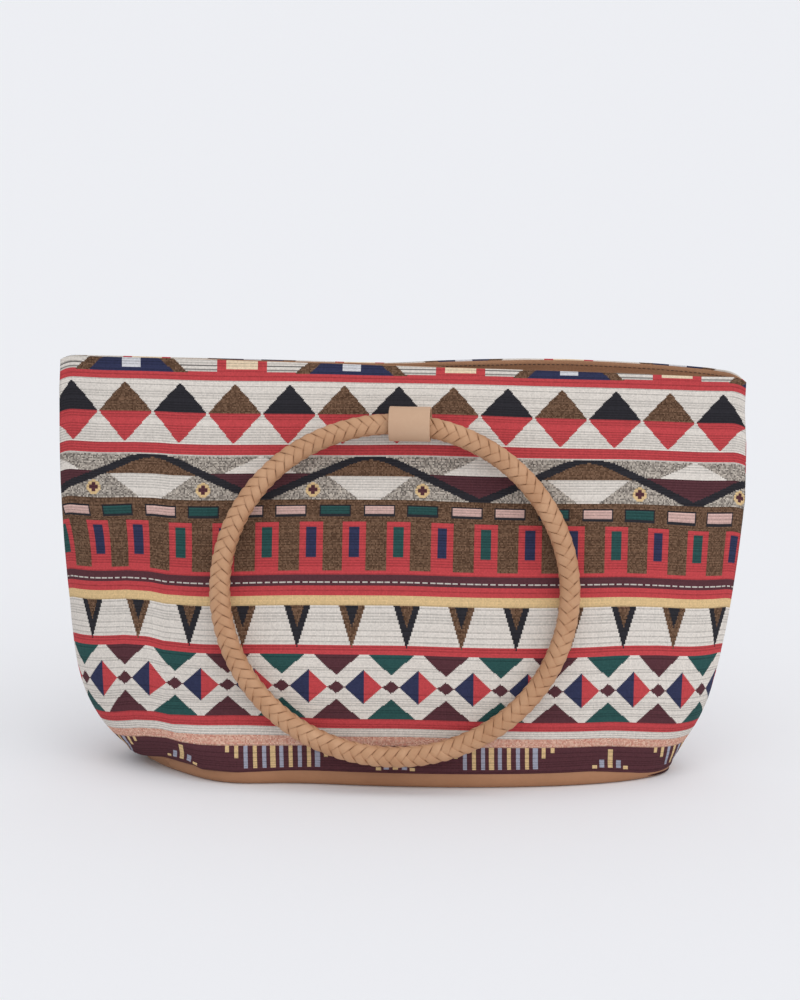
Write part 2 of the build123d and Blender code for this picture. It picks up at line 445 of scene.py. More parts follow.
RED = linear(186, 68, 72)
WHITE = linear(214, 207, 199)
BLACK = linear(43, 42, 47)
GREEN = linear(42, 78, 76)
NAVY = linear(48, 52, 80)
MAROON = linear(84, 49, 55)
PINK = linear(205, 170, 162)
YELLOW = linear(211, 181, 134)
CREAM = linear(226, 205, 176)
TWEED_DARK = linear(82, 59, 44)
TWEED_LIGHT = linear(118, 91, 72)
PEPPER = linear(96, 89, 84)
SALT = linear(196, 186, 174)
CHECK_DARK = linear(191, 130, 114)
CHECK_LIGHT = linear(219, 184, 163)
GREY_BLUE = linear(158, 160, 176)
PALE_GREY = linear(206, 206, 210)

# Weave sizes in millimetres along the cloth: a thread, the pattern's repeat and its parts.
THREAD = 0.85
REPEAT = 142.8
HALF_REPEAT = REPEAT / 2
QUARTER = REPEAT / 4
FIFTH = REPEAT / 5

# Heights on the cloth at which the pattern's bands start and end.
CHECK_FROM = 19.0
CHECK_TO = 25.6
LATTICE_FROM = 38.6
LATTICE_TO = 83.8
TEETH_TO = 113.6
TWEED_FROM = 134.9
HILLS_FROM = 181.0
HILLS_TO = 209.3
MOUTH_FROM = 264.2
# Stripes from the base to the mouth: each from its height to the next one's.
STRIPES = [
    (0.0, MAROON), (CHECK_FROM, PINK), (CHECK_TO, WHITE), (31.6, RED), (LATTICE_FROM, WHITE),
    (LATTICE_TO, RED), (90.0, WHITE), (TEETH_TO, YELLOW), (119.4, RED), (124.6, MAROON),
    (131.7, RED), (TWEED_FROM, TWEED_DARK), (HILLS_FROM, WHITE), (HILLS_TO, RED), (215.9, WHITE),
    (258.4, RED), (MOUTH_FROM, WHITE),
]
STRIPE_SCALE = 300.0
# Seeds of the random draws for threads, rows and columns.
SALT_SEED = 5.0
CHECK_SEED = 9.0
ROW_SEED = 3.0
COLUMN_SEED = 7.0


class Weave:
    """The woven pattern, painted figure over figure on the cloth's own coordinates, thread by thread."""

    def __init__(self):
        self.raw_u, self.raw_v = uv_places("weave")
        self.cell_u = floor(self.raw_u / THREAD)
        self.cell_v = floor(self.raw_v / THREAD)
        self.u = (self.cell_u + 0.5) * THREAD
        self.v = (self.cell_v + 0.5) * THREAD
        self.grain = speckle(self.cell_u, self.cell_v)
        self.tweed = mix(self.grain, TWEED_DARK, TWEED_LIGHT)
        self.colour = self.stripes()
        self.paint(self.band(TWEED_FROM, HILLS_FROM), self.tweed)
        salted = mix(speckle(self.cell_u, self.cell_v, SALT_SEED), PEPPER, SALT)
        self.paint(self.band(HILLS_FROM, HILLS_TO), salted)
        check = mix(speckle(self.cell_u, self.cell_v, CHECK_SEED), CHECK_DARK, CHECK_LIGHT)
        self.paint(self.band(CHECK_FROM, CHECK_TO), check)

    def stripes(self):
        """The plain stripes under the figures."""
        ramp = add_node("ShaderNodeValToRGB")
        ramp.color_ramp.interpolation = "CONSTANT"
        while len(ramp.color_ramp.elements) < len(STRIPES):
            ramp.color_ramp.elements.new(1.0)
        for element, (height, colour) in zip(ramp.color_ramp.elements, STRIPES):
            element.position = height / STRIPE_SCALE
            element.color = colour
        feed(ramp.inputs[0], self.v / STRIPE_SCALE)
        return ramp.outputs[0]

    def paint(self, where, colour):
        """Lays a colour over the pattern where a field is 1."""
        self.colour = mix(where, self.colour, colour)

    def band(self, low, high):
        """1 between two heights."""
        return (self.v > low) * (self.v < high)

    def off(self, centre, spacing):
        """Distance from the nearest of the places centre plus whole spacings."""
        return absolute(fract((self.u - centre) / spacing + 0.5) - 0.5) * spacing

    def is_turn(self, centre, spacing, count, *numbers):
        """1 where a figure in rows of count, 0 being the one at centre, has one of the numbers."""
        turn = floor(fract((self.u - centre) / (spacing * count) + 0.5 / count) * count)
        return reduce(largest, [absolute(turn - number) < 0.5 for number in numbers])


BLOCK_U = -32.5
BLOCK_HALF = 27.9
BLOCK_END_HALF = 37.0
BLOCK_SLANT = 1.1
BRACKET_U = 38.9
LINE_HEIGHTS = [(266.0, 267.0), (268.6, 269.6)]
LINE_STRENGTH = 0.7
# Bars up to the mouth: middle, half width, lower end and colour.
MOUTH_BARS = [
    (BLOCK_U, 5.8, 267.2, PALE_GREY),
    (BRACKET_U, 16.0, MOUTH_FROM, RED),
    (BRACKET_U, 10.3, 267.0, CREAM),
]


def paint_mouth(weave):
    """Mouth band: navy blocks with slanted tweed ends, red brackets round cream bars, dark lines."""
    v = weave.v
    mouth = v > MOUTH_FROM
    block = weave.off(BLOCK_U, REPEAT)
    slant = (v - MOUTH_FROM) * BLOCK_SLANT
    lines = reduce(largest, [weave.band(*heights) for heights in LINE_HEIGHTS])
    weave.paint(mouth * lines * LINE_STRENGTH, BLACK)
    weave.paint(mouth * (block < BLOCK_END_HALF - slant), weave.tweed)
    weave.paint(mouth * (block < BLOCK_HALF - slant), NAVY)
    for middle, half, low, colour in MOUTH_BARS:
        weave.paint((v > low) * (weave.off(middle, REPEAT) < half), colour)


DIAMOND_U = -0.8
DIAMOND_V = 237.0
DIAMOND_SIZE = (17.5, 20.2)


def paint_diamonds(weave):
    """Diamonds: the upper half black or tweed by turns, the lower half red."""
    v = weave.v
    diamond = rhomb(weave.off(DIAMOND_U, QUARTER), absolute(v - DIAMOND_V), DIAMOND_SIZE)
    upper = mix(weave.is_turn(DIAMOND_U, QUARTER, 2, 0), weave.tweed, BLACK)
    weave.paint(diamond, mix(v > DIAMOND_V, RED, upper))


# The wave: how far its crest is rounded, how steep its flanks are, and the width of its line.
HILL_U = -17.7
HILL_TOP = 208.0
CREST_ROUND = 18.4
FLANK_SLOPE = 0.434
HILL_LINE = 0.9
HILL_LINE_SWELL = 1.75
# The tweed under a crest ends in a white wedge below, and the maroon in a trough in one above.
TWEED_FOOT = 196.0
FOOT_HALF = 6.8
FOOT_SLOPE = 1.34
MAROON_TOP = 198.4
TROUGH_TIP = 209.0
TROUGH_SLOPE = 2.1
TROUGH_HALF = 1.0
EYE_U = 16.6
EYE_V = 187.3
EYE_RADIUS = 4.6
EYE_CROSS_RADIUS = 2.9
EYE_CROSS_HALF = 1.0


def paint_hills(weave):
    """Hills: a black wave with tweed under its crests, maroon in its troughs, and yellow eyes between."""
    v = weave.v
    crest = weave.off(HILL_U, REPEAT)
    rounded = crest < CREST_ROUND
    curve = rounded * crest * crest * (FLANK_SLOPE / (2 * CREST_ROUND))
    flank = (1 - rounded) * (crest - CREST_ROUND / 2) * FLANK_SLOPE
    hill = HILL_TOP - curve - flank
    thick = HILL_LINE + HILL_LINE_SWELL * smallest(crest / CREST_ROUND, 1.0)
    zone = weave.band(HILLS_FROM, HILLS_TO)
    weave.paint(zone * (v < hill) * (v > TWEED_FOOT), weave.tweed)
    foot = crest < FOOT_HALF + (v - HILLS_FROM) * FOOT_SLOPE
    weave.paint(weave.band(HILLS_FROM, TWEED_FOOT) * foot, WHITE)
    weave.paint(zone * (v > hill) * (v < MAROON_TOP), MAROON)
    trough = weave.off(HILL_U + HALF_REPEAT, REPEAT) < (TROUGH_TIP - v) * TROUGH_SLOPE + TROUGH_HALF
    weave.paint(weave.band(MAROON_TOP, HILLS_TO) * trough, WHITE)
    weave.paint(zone * (absolute(v - hill) < thick), BLACK)
    eye_u = weave.off(EYE_U, HALF_REPEAT)
    eye_v = absolute(v - EYE_V)
    eye = work("SQRT", eye_u * eye_u + eye_v * eye_v)
    weave.paint(eye < EYE_RADIUS, YELLOW)
    weave.paint((eye < EYE_CROSS_RADIUS) * (smallest(eye_u, eye_v) < EYE_CROSS_HALF), MAROON)


BAR_U = -68.5
BAR_V = 173.9
BAR_SIZE = (10.2, 3.6)
BAR_INNER_SIZE = (9.3, 2.6)
GREEN_BARS = (1, 3)
COLUMN_U = -55.5
COLUMN_TOP = 166.6
COLUMN_HALF = 7.6
CORE_V = (143.6, 163.0)
CORE_HALF = 3.3
GREEN_COLUMNS = (2, 4)
DASH_V = (127.9, 128.4)
DASH_PITCH = 4.9
DASH_HALF = 1.85


def paint_bars(weave):
    """Bars and columns on tweed, and a row of white dashes below them."""
    bar = weave.off(BAR_U, FIFTH)
    bar_v = absolute(weave.v - BAR_V)
    weave.paint(box(bar, bar_v, BAR_SIZE), BLACK)
    inner = mix(weave.is_turn(BAR_U, FIFTH, 5, *GREEN_BARS), PINK, GREEN)
    weave.paint(box(bar, bar_v, BAR_INNER_SIZE), inner)
    column = weave.off(COLUMN_U, FIFTH)
    weave.paint(weave.band(TWEED_FROM, COLUMN_TOP) * (column < COLUMN_HALF), RED)
    core = mix(weave.is_turn(COLUMN_U, FIFTH, 5, *GREEN_COLUMNS), NAVY, GREEN)
    weave.paint(weave.band(*CORE_V) * (column < CORE_HALF), core)
    weave.paint(weave.band(*DASH_V) * (weave.off(0.0, DASH_PITCH) < DASH_HALF), WHITE)


TOOTH_U = 7.9
LONG_TIP = 88.0
LONG_SLOPE = 0.336
SHORT_TIP = 100.5
SHORT_SLOPE = 0.33


def paint_teeth(weave):
    """Teeth hanging from the yellow stripe, each with a short one inside."""
    tooth = weave.off(TOOTH_U, QUARTER)
    dark = weave.is_turn(TOOTH_U, QUARTER, 2, 0)
    long_tooth = tooth < (weave.v - LONG_TIP) * LONG_SLOPE
    short_tooth = tooth < (weave.v - SHORT_TIP) * SHORT_SLOPE
    weave.paint(weave.band(LONG_TIP, TEETH_TO) * long_tooth, mix(dark, weave.tweed, BLACK))
    weave.paint(weave.band(SHORT_TIP, TEETH_TO) * short_tooth, mix(dark, BLACK, weave.tweed))


LATTICE_V = 61.6
SMALL_U = -1.9
SMALL_SIZE = (5.8, 4.6)
BIG_U = 15.95
BIG_SIZE = (12.2, 12.4)
TRIANGLE_TIP = 8.6
TRIANGLE_SLOPE = 1.08


def paint_lattice(weave):
    """Lattice: hanging and rising triangles, two-colour diamonds and small ones between."""
    small = weave.off(SMALL_U, QUARTER)
    big = weave.off(BIG_U, QUARTER)
    rise = absolute(weave.v - LATTICE_V)
    triangles = weave.band(LATTICE_FROM, LATTICE_TO) * (small < (rise - TRIANGLE_TIP) * TRIANGLE_SLOPE)
    weave.paint(triangles, mix(weave.is_turn(SMALL_U, QUARTER, 2, 0), MAROON, GREEN))
    right_half = fract((weave.u - BIG_U) / QUARTER) < 0.5
    weave.paint(rhomb(big, rise, BIG_SIZE), mix(right_half, NAVY, RED))
    weave.paint(rhomb(small, rise, SMALL_SIZE), MAROON)


COMB_U = 69.5
COMB_HALF = 37
COMB_TOP = 18.4
COMB_HANG = 18.2
TINE_PITCH = 5.8
TINE_HALF = 1.35
TINE_LENGTH = 3.6
# How much longer the tines are within a distance of the comb's middle.
TINE_GROWTH = [(33, 4.0), (27, 8.4)]
TWO_COLOUR_HALF = 30
# Bars between the combs: distance from their middle, half width, lower and upper end, and colour.
BETWEEN_U = 0.8
BETWEEN_BARS = [
    (0.0, 1.6, 2.0, 16.0, YELLOW),
    (6.0, 1.5, 2.0, 7.5, GREY_BLUE),
    (11.0, 1.5, 1.0, 3.0, YELLOW),
]


def paint_combs(weave):
    """Combs above the base seam, with a few bars between them."""
    comb = weave.off(COMB_U, REPEAT)
    tine = floor(comb / TINE_PITCH + 0.5)
    on_tine = absolute(comb - tine * TINE_PITCH) < TINE_HALF
    length = TINE_LENGTH
    for reach, growth in TINE_GROWTH:
        length = length + growth * (comb < reach)
    colour = mix(is_even(tine) * (comb < TWO_COLOUR_HALF), YELLOW, GREY_BLUE)
    weave.paint(on_tine * (comb < COMB_HALF) * weave.band(COMB_HANG - length, COMB_TOP), colour)
    between = weave.off(BETWEEN_U, REPEAT)
    for place, half, low, high, bar_colour in BETWEEN_BARS:
        weave.paint((absolute(between - place) < half) * weave.band(low, high), bar_colour)


# The cloth's unevenness: its plain level, and how much each thread, row and column of threads adds.
SHADE_LEVEL = 0.912
SHADE_GRAIN = 0.2
SHADE_ROW = 0.1
SHADE_COLUMN = 0.05
# Every other row is a dark ground thread, apart from the share of rows in which it is hidden.
GROUND_DARK = 0.3
GROUND_HIDDEN = 0.35


def woven_fabric():
    """The woven cloth: stripes and figures in threads of plain colour, and their relief."""
    material, shader = surface("woven_fabric", roughness=0.92, specular=0.15)
    weave = Weave()
    figures = (paint_mouth, paint_diamonds, paint_hills, paint_bars, paint_teeth, paint_lattice, paint_combs)
    for paint_figure in figures:
        paint_figure(weave)
    row = speckle(0.0, weave.cell_v, ROW_SEED)
    column = speckle(weave.cell_u, 0.0, COLUMN_SEED)
    ground = is_even(weave.cell_v) * (row > GROUND_HIDDEN) * GROUND_DARK
    shade = SHADE_LEVEL + SHADE_GRAIN * weave.grain + SHADE_ROW * row + SHADE_COLUMN * column - ground
    grey = add_node("ShaderNodeCombineColor")
    for socket in grey.inputs[:3]:
        feed(socket, shade)
    colour = mix(1.0, weave.colour, grey.outputs[0], blend="MULTIPLY")
    relief = thread_rows(weave.raw_u, THREAD) * 0.5 + thread_rows(weave.raw_v, THREAD) + weave.grain * 0.5
    cover(shader, colour, relief, distance=0.00025, strength=0.5)
    return material


def leather(name, colour, dark, light, grain, depth, roughness):
    """Smooth tanned leather: cloudy colour, fine grain and pores."""
    material, shader = surface(name, roughness, specular=0.35)
    cloud = object_noise(scale=22.0, detail=3.0)
    fine = object_noise(scale=420.0)
    tone = mix(0.6, colour, mix(contrast(cloud, 1.7), dark, light))
    tone = mix(fine * 0.35, tone, dark)
    pores = object_noise(grain, detail=0.0, kind="ShaderNodeTexVoronoi")
    height = pores * 0.6 + object_noise(grain * 0.35, detail=3.0)
    cover(shader, tone, height, distance=depth, strength=0.35)
    return material


def ring_leather():
    """Braid strap leather: cloudy tan, darker towards the strap's edges."""
    material, shader = surface("ring_leather", roughness=0.52, specular=0.35)
    across = uv_places("place")[1]
    cloud = object_noise(scale=60.0, detail=3.0)
    fine = object_noise(scale=500.0)
    tone = mix(contrast(cloud, 1.8), linear(178, 131, 95), linear(208, 165, 129))
    edge = work("POWER", absolute(across) * 2, 8.0)
    tone = mix(edge * 0.55, tone, linear(128, 84, 56))
    tone = mix(fine * 0.3, tone, linear(160, 114, 80))
    streak = work("SINE", across * 60 + object_noise(scale=90.0) * 6)
    height = object_noise(scale=900.0, detail=3.0) + streak * 0.12
    cover(shader, tone, height, distance=0.0003, strength=0.3)
    return material


LINING_THREAD = 0.5


def lining_cloth():
    """Plain brown lining cloth in a fine plain weave."""
    material, shader = surface("lining_cloth", roughness=0.9, specular=0.15)
    u, v = uv_places("place")
    grain = speckle(floor(u / LINING_THREAD), floor(v / LINING_THREAD))
    cloud = object_noise(scale=25.0, detail=3.0)
    tone = mix(grain * 0.5 + cloud * 0.5, linear(160, 116, 88), linear(192, 146, 114))
    relief = thread_rows(u, LINING_THREAD) + thread_rows(v, LINING_THREAD)
    cover(shader, tone, relief, distance=0.00015, strength=0.4)
    return material


def thread_material():
    """Dark waxed sewing thread with a twist."""
    material, shader = surface("stitch_thread", roughness=0.7)
    twist = object_noise(scale=1500.0)
    tone = mix(twist, linear(58, 44, 38), linear(104, 80, 66))
    cover(shader, tone, twist, distance=0.0001, strength=0.4)
    return material


cloth_material = woven_fabric()
base_leather = leather(
    "base_leather",
    colour=linear(170, 122, 88),
    dark=linear(150, 104, 74),
    light=linear(190, 142, 106),
    grain=1100.0,
    depth=0.0002,
    roughness=0.55,
)
loop_leather = leather(
    "loop_leather",
    colour=linear(200, 165, 136),
    dark=linear(186, 148, 120),
    light=linear(212, 180, 150),
    grain=1300.0,
    depth=0.0001,
    roughness=0.5,
)
ring_material = ring_leather()
lining_material = lining_cloth()
stitch_material = thread_material()

# Cloth panels
PANEL_COLUMNS = 240
PANEL_ROWS = 150
CLOTH = 1.0
# The hem: its radius, the angles of its rows round the roll, and their depths below the mouth behind it.
HEM_ROLL = 0.9
HEM_ANGLES = [35, 70, 105, 140, 180]
HEM_DEPTHS = [1.0, 2.0, 3.0]
# The part of the room between the panels that each may fill near the side seams.
SEAM_SHARE = 0.45
# The fold of cloth that bulges out over the base seam: how far, how high up and how wide.
FOOT_BULGE = 1.6
FOOT_BULGE_V = (2.5, 3.5)
# The lower edge inside the base rim, as shares of the rim's outline, and how far down and under it goes.
TUCK_WIDTH_SHARE = 0.997
TUCK_DEPTH_SHARE = 0.985
TUCK_DROP = 2.0
TUCK_SAG = 0.4
TUCK_STEP = 2.0

# Where the pattern lies on the slack cloth: its rise over the belly and at both ends.
PATTERN_SHIFT = 4.6
BELLY_RISE = 4.5
BELLY_V = (78, 38)
BELLY_HALF = 170
END_RISE = 2.0
END_V = (172, 7)
END_HALF = 190
END_MOST = 1.1
# How it spreads by the square of u at each side, and is pulled at the left by its fourth power.
SPREAD_LEFT = 1.2e-4
SPREAD_RIGHT = 5.5e-5
PULL_LEFT = 2.4e-9
PULL_V = (183, 25)
# Its drop towards the right, and rises by slopes: size, from and to along u, from and to along v.
RIGHT_DROP = 5
RIGHT_DROP_U = (20, 210)
PATTERN_SLOPES = [
    (3.0, (20, 210), (190, 250)),
    (-2.0, (-40, 60), (188, 225)),
    (0.7, (-40, 60), (250, 262)),
    (1.2, (-40, -150), (245, 262)),
]
# Rises by humps: size, middle and width along u, middle and width along v.
PATTERN_HUMPS = [(-5.2, (-122, 52), (38, 30)), (4.2, (165, 100), (60, 42))]


def pattern_place(u, v):
    """Cloth coordinates moved to where the photograph's pattern lies on the slack cloth."""
    middle = np.clip(1 - (u / BELLY_HALF) ** 2, 0, 1)
    ends = np.clip(u / END_HALF, -END_MOST, END_MOST) ** 2
    height = v + BELLY_RISE * hump(v, *BELLY_V) * middle + END_RISE * hump(v, *END_V) * ends
    height -= RIGHT_DROP * ease(*RIGHT_DROP_U, u)
    for size, u_range, v_range in PATTERN_SLOPES:
        height += size * ease(*u_range, u) * ease(*v_range, v)
    for size, u_hump, v_hump in PATTERN_HUMPS:
        height += size * hump(u, *u_hump) * hump(v, *v_hump)
    spread = np.where(u < 0, SPREAD_LEFT, SPREAD_RIGHT) * u**2
    pull = np.where(u < 0, PULL_LEFT, 0) * u**4 * hump(v, *PULL_V)
    return u + PATTERN_SHIFT + spread + pull, height


def tucked_edge(side):
    """A panel's lower edge, inside the base rim."""
    x, depth = section_line(RIM_LEVEL, PANEL_COLUMNS)
    x = x * TUCK_WIDTH_SHARE
    y = side * depth * TUCK_DEPTH_SHARE
    return np.stack([x, y - rim_push(x, y), np.full(PANEL_COLUMNS, RIM_Z - TUCK_DROP)], -1)


def hem_rows(points, v, out, roll):
    """The hem's rows, rolled inwards at the mouth and down behind it, and their heights on the cloth."""
    top = points[-1]
    up = unit(top - points[-2])
    rows = []
    heights = []
    for angle in np.radians(HEM_ANGLES):
        rows.append(top - out[-1] * roll * (1 - math.cos(angle)) + up * HEM_ROLL * math.sin(angle))
        heights.append(v[-1] + HEM_ROLL * angle)
    for depth in HEM_DEPTHS:
        row = PANEL_ROWS - 1 - depth / (v[-1].mean() / (PANEL_ROWS - 1))
        i = math.floor(row)
        here = points[i] * (i + 1 - row) + points[i + 1] * (row - i)
        rows.append(here - out[i] * 2 * roll)
        heights.append(v[-1] + HEM_ROLL * math.pi + depth)
    return rows, heights


def build_panel(name, side):
    """One woven panel: tucked in at the rim, hemmed at the mouth and thinned where the panels meet."""
    points, u, v = panel_grid(side, PANEL_COLUMNS, PANEL_ROWS)
    other = panel_grid(-side, PANEL_COLUMNS, PANEL_ROWS)[0]
    room = SEAM_SHARE * np.abs(points[..., 1] - other[..., 1])
    thickness = np.clip(room / CLOTH, 0, 1)
    roll = HEM_ROLL * np.clip(room[-1] / (2 * HEM_ROLL + CLOTH), 0, 1)[:, None]
    bulge = FOOT_BULGE * hump(v, *FOOT_BULGE_V)
    points = points + outward(points, side) * bulge[..., None]
    tuck = tucked_edge(side)
    under = (tuck + points[0]) / 2
    under[:, 2] = np.minimum(tuck[:, 2], points[0][:, 2]) - TUCK_SAG
    hem, hem_v = hem_rows(points, v, outward(points, side), roll)
    rows = np.array([tuck, under, *points, *hem])
    beyond = ((2, len(hem)), (0, 0))
    places_u = np.pad(u, beyond, "edge")
    places_v = np.array([v[0] - 2 * TUCK_STEP, v[0] - TUCK_STEP, *v, *hem_v])
    faces = grid_faces(len(rows), PANEL_COLUMNS, flip=side > 0)
    uv = np.stack(pattern_place(places_u * -side, places_v), -1)
    obj = mesh_object(name, rows, faces, cloth_material, uv, "weave")
    group = obj.vertex_groups.new(name="thickness")
    for index, share in enumerate(np.pad(thickness, beyond, "edge").ravel()):
        group.add([index], float(share), "REPLACE")
    solidify(obj, CLOTH).vertex_group = group.name
    return obj


cloth_front = build_panel("cloth_front", -1)
cloth_back = build_panel("cloth_back", 1)

# Lining
LINING_COLUMNS = 121
LINING_ROWS = 90
LINING_THICK = 0.6
# The gap inside the panels, wider behind the hem, and the distances below the mouth over which it widens.
LINING_GAP = 1.7
LINING_HEM_GAP = 3.3
HEM_GAP_V = (9, 4)
# The lining ends where half the room between the panels is this, and a gap before that lower down.
LINING_END = 2.4
LINING_END_GAP = 3.2
END_GAP_SHARES = (0.95, 0.7)
LINING_LEAST = 0.3
LINING_RISE = 0.1
# The lowest rows of the wall are drawn in, and the floor lies between them.
FOOT_ROWS = 3
FOOT_WIDTH_SHARE = 0.975
FOOT_DEPTH_SHARE = 0.95
LINING_FLOOR_Z = 3.6
FLOOR_ROWS = 12


def lining_halves():
    """The lining's front and back, a gap inside the panels and never through them at the ends."""
    front, _, v = panel_grid(-1, LINING_COLUMNS, LINING_ROWS)
    back = panel_grid(1, LINING_COLUMNS, LINING_ROWS)[0]
    middle = (front + back) / 2
    room = (back[..., 1] - front[..., 1]) / 2
    gap = LINING_GAP + (LINING_HEM_GAP - LINING_GAP) * ease(*HEM_GAP_V, v[-1].mean() - v)
    halves = {-1: np.zeros_like(front), 1: np.zeros_like(front)}
    for i in range(LINING_ROWS):
        x = middle[i, :, 0]
        wide = np.where(room[i] > LINING_END)[0]
        end_gap = LINING_END_GAP * ease(*END_GAP_SHARES, i / (LINING_ROWS - 1))
        low = x[wide[0]] + end_gap
        high = x[wide[-1]] - end_gap
        inside = low + (high - low) * (x - x[0]) / (x[-1] - x[0])
        room_inside = np.minimum(np.interp(inside, x, room[i]), room[i])
        centre = np.interp(inside, x, middle[i, :, 1])
        for side, half in halves.items():
            half[i, :, 0] = inside
            half[i, :, 1] = centre + side * np.maximum(room_inside - gap[i], LINING_LEAST)
            half[i, :, 2] = np.interp(inside, x, (front if side < 0 else back)[i, :, 2])
    for half in halves.values():
        half[-1] += unit(half[-1] - half[-2]) * LINING_RISE
        half[:FOOT_ROWS, :, 0] *= FOOT_WIDTH_SHARE
        half[:FOOT_ROWS, :, 1] *= FOOT_DEPTH_SHARE
        half[0, :, 2] = LINING_FLOOR_Z
    return halves


def build_lining(front, back):
    """The lining: its wall all round, and a floor between its halves' lowest rows."""
    around = np.concatenate([front, back[:, ::-1]], axis=1)
    count = around.shape[1]
    wall = around.reshape(-1, 3)
    shares = np.arange(1, FLOOR_ROWS) / FLOOR_ROWS
    points = np.concatenate([wall, *[front[0] * (1 - share) + back[0] * share for share in shares]])
    starts = [0, *range(len(wall), len(points), LINING_COLUMNS)]
    floor_lines = [range(start, start + LINING_COLUMNS) for start in starts]
    floor_lines.append(range(count - 1, LINING_COLUMNS - 1, -1))
    faces = grid_faces(LINING_ROWS, count, closed=True)
    for near, far in zip(floor_lines, floor_lines[1:]):
        faces += zip(near, far, far[1:], near[1:])
    # The inside is the face that shows, so the faces turn inwards.
    faces = [face[::-1] for face in faces]
    uv = np.stack([points[:, 0] + points[:, 1], points[:, 2]], -1)
    uv[len(wall) :, 1] = points[len(wall) :, 1]
    obj = mesh_object("lining_cloth", points, faces, lining_material, uv)
    solidify(obj, LINING_THICK)
    return obj


# Stitches along the lining's upper edge. Their profile is the place along a stitch and its size there.
STITCH_PITCH = 3.2
STITCH_HALF = 1.05
STITCH_RADIUS = 0.28
STITCH_LIFT = 0.1
STITCH_MARGIN = 6
STITCH_SIDES = 6
STITCH_PROFILE = [(-1.0, 0.35), (-0.6, 1.0), (0.6, 1.0), (1.0, 0.35)]


def stitch_points(centre, direction, normal):
    """One stitch: a small bar with narrow ends, half sunk in the cloth."""
    side = np.cross(direction, normal)
    points = []
    for place, size in STITCH_PROFILE:
        for k in range(STITCH_SIDES):
            angle = 2 * math.pi * k / STITCH_SIDES
            spoke = (math.cos(angle) * normal + math.sin(angle) * side) * STITCH_RADIUS * size
            points.append(centre + direction * STITCH_HALF * place + spoke)
    return points


def read_line(place, run, line):
    """The point of a line, or its direction, at a place along its run."""
    return np.array([np.interp(place, run, line[:, i]) for i in range(3)])


def build_stitches(halves):
    """A row of stitches along the upper edge of each half of the lining."""
    points = []
    faces = []
    for side, half in halves.items():
        line = half[-2]
        normal = -outward(half, side)[-2]
        run = run_along(line)
        for place in np.arange(STITCH_MARGIN, run[-1] - STITCH_MARGIN, STITCH_PITCH):
            centre = read_line(place, run, line)
            direction = unit(read_line(place + 1, run, line) - centre)
            facing = read_line(place, run, normal)
            facing = facing - direction * facing.dot(direction)
            first = len(points)
            points += stitch_points(centre + facing * STITCH_LIFT, direction, unit(facing))
            faces += grid_faces(len(STITCH_PROFILE), STITCH_SIDES, closed=True, first=first)
            faces.append(tuple(range(first, first + STITCH_SIDES))[::-1])
            faces.append(tuple(range(len(points) - STITCH_SIDES, len(points))))
    return mesh_object("lining_stitches", points, faces, stitch_material)


lining_sides = lining_halves()
lining = build_lining(lining_sides[-1], lining_sides[1])
stitches = build_stitches(lining_sides)

# Base. Its profile is how far in from the outline, and how high, from the inside up and over to the bottom.
BASE_COLUMNS = 160
BASE_PROFILE = [(2.5, 4.0), (2.5, 8.0), (2.5, 11.6), (2.0, 12.0), (0.6, 12.0), (0.05, 11.5), (-0.5, 9.0)]
BASE_PROFILE += [(-0.7, 6.5), (-0.3, 4.2), (0.4, 2.6), (1.4, 1.3), (2.7, 0.4), (4.2, 0.0), (7.0, 0.0)]


def closing_faces(row, columns, flip):
    """Faces that fill one closed row, by strips between its front and back."""
    faces = []
    first = row * columns
    for j in range(BASE_COLUMNS - 1):
        quad = (first + j, first + j + 1, first + columns - j - 1, first + (columns - j) % columns)
        # At both ends two corners are the same one.
        face = tuple(dict.fromkeys(quad))
        faces.append(face[::-1] if flip else face)
    return faces


def build_base():
    """The leather base: a tray with its profile carried round the oval outline."""
    half_line = np.stack(section_line(RIM_LEVEL, BASE_COLUMNS), -1)
    outline = np.concatenate([half_line * (1, -1), half_line[::-1][1:-1]])
    outline[:, 1] -= rim_push(outline[:, 0], outline[:, 1])
    tangent = np.roll(outline, -1, axis=0) - np.roll(outline, 1, axis=0)
    out = unit(np.stack([tangent[:, 1], -tangent[:, 0]], -1))
    columns = len(outline)
    rows = [np.column_stack([outline - out * inset, np.full(columns, z)]) for inset, z in BASE_PROFILE]
    faces = grid_faces(len(BASE_PROFILE), columns, closed=True, flip=True)
    faces += closing_faces(0, columns, flip=False)
    faces += closing_faces(len(BASE_PROFILE) - 1, columns, flip=True)
    return mesh_object("leather_base", rows, faces, base_leather)


base = build_base()

# Loops and rings. As in the solids: each hinge's depth and height, the panel's slope and the ring's lean.
HINGES = {-1: (41.574, 236.965), 1: (44.774, 237.161)}
PANEL_SLOPES = {-1: math.atan(0.30976), 1: math.atan(0.32665)}
RING_LEANS = {-1: math.radians(9.4929), 1: math.radians(8.4611)}
LOOP_HALF_WIDTH = 13.4
LOOP_RADIUS = 10.5
LOOP_LIFT = 1.3
LOOP_FLARE = 0.012
LOOP_STRAP = 1.5
LOOP_EDGE = 0.45
LOOP_EDGE_STEPS = 3
LOOP_COLUMNS = 25
# The strap goes round the cord by these degrees, and its two ends go in through the panel.
LOOP_SWEEP = np.linspace(156, -156, 57)
LOOP_TAIL = [(-17.0, 0.9), (-13.0, 1.0)]


def by_hinge(side, angle, x, out, up):
    """Points at an x, and out from the hinge and up along a slope with this angle."""
    depth, height = HINGES[side]
    y = side * (depth + out * math.cos(angle) - up * math.sin(angle))
    return np.stack([x, y, height + out * math.sin(angle) + up * math.cos(angle)], -1)


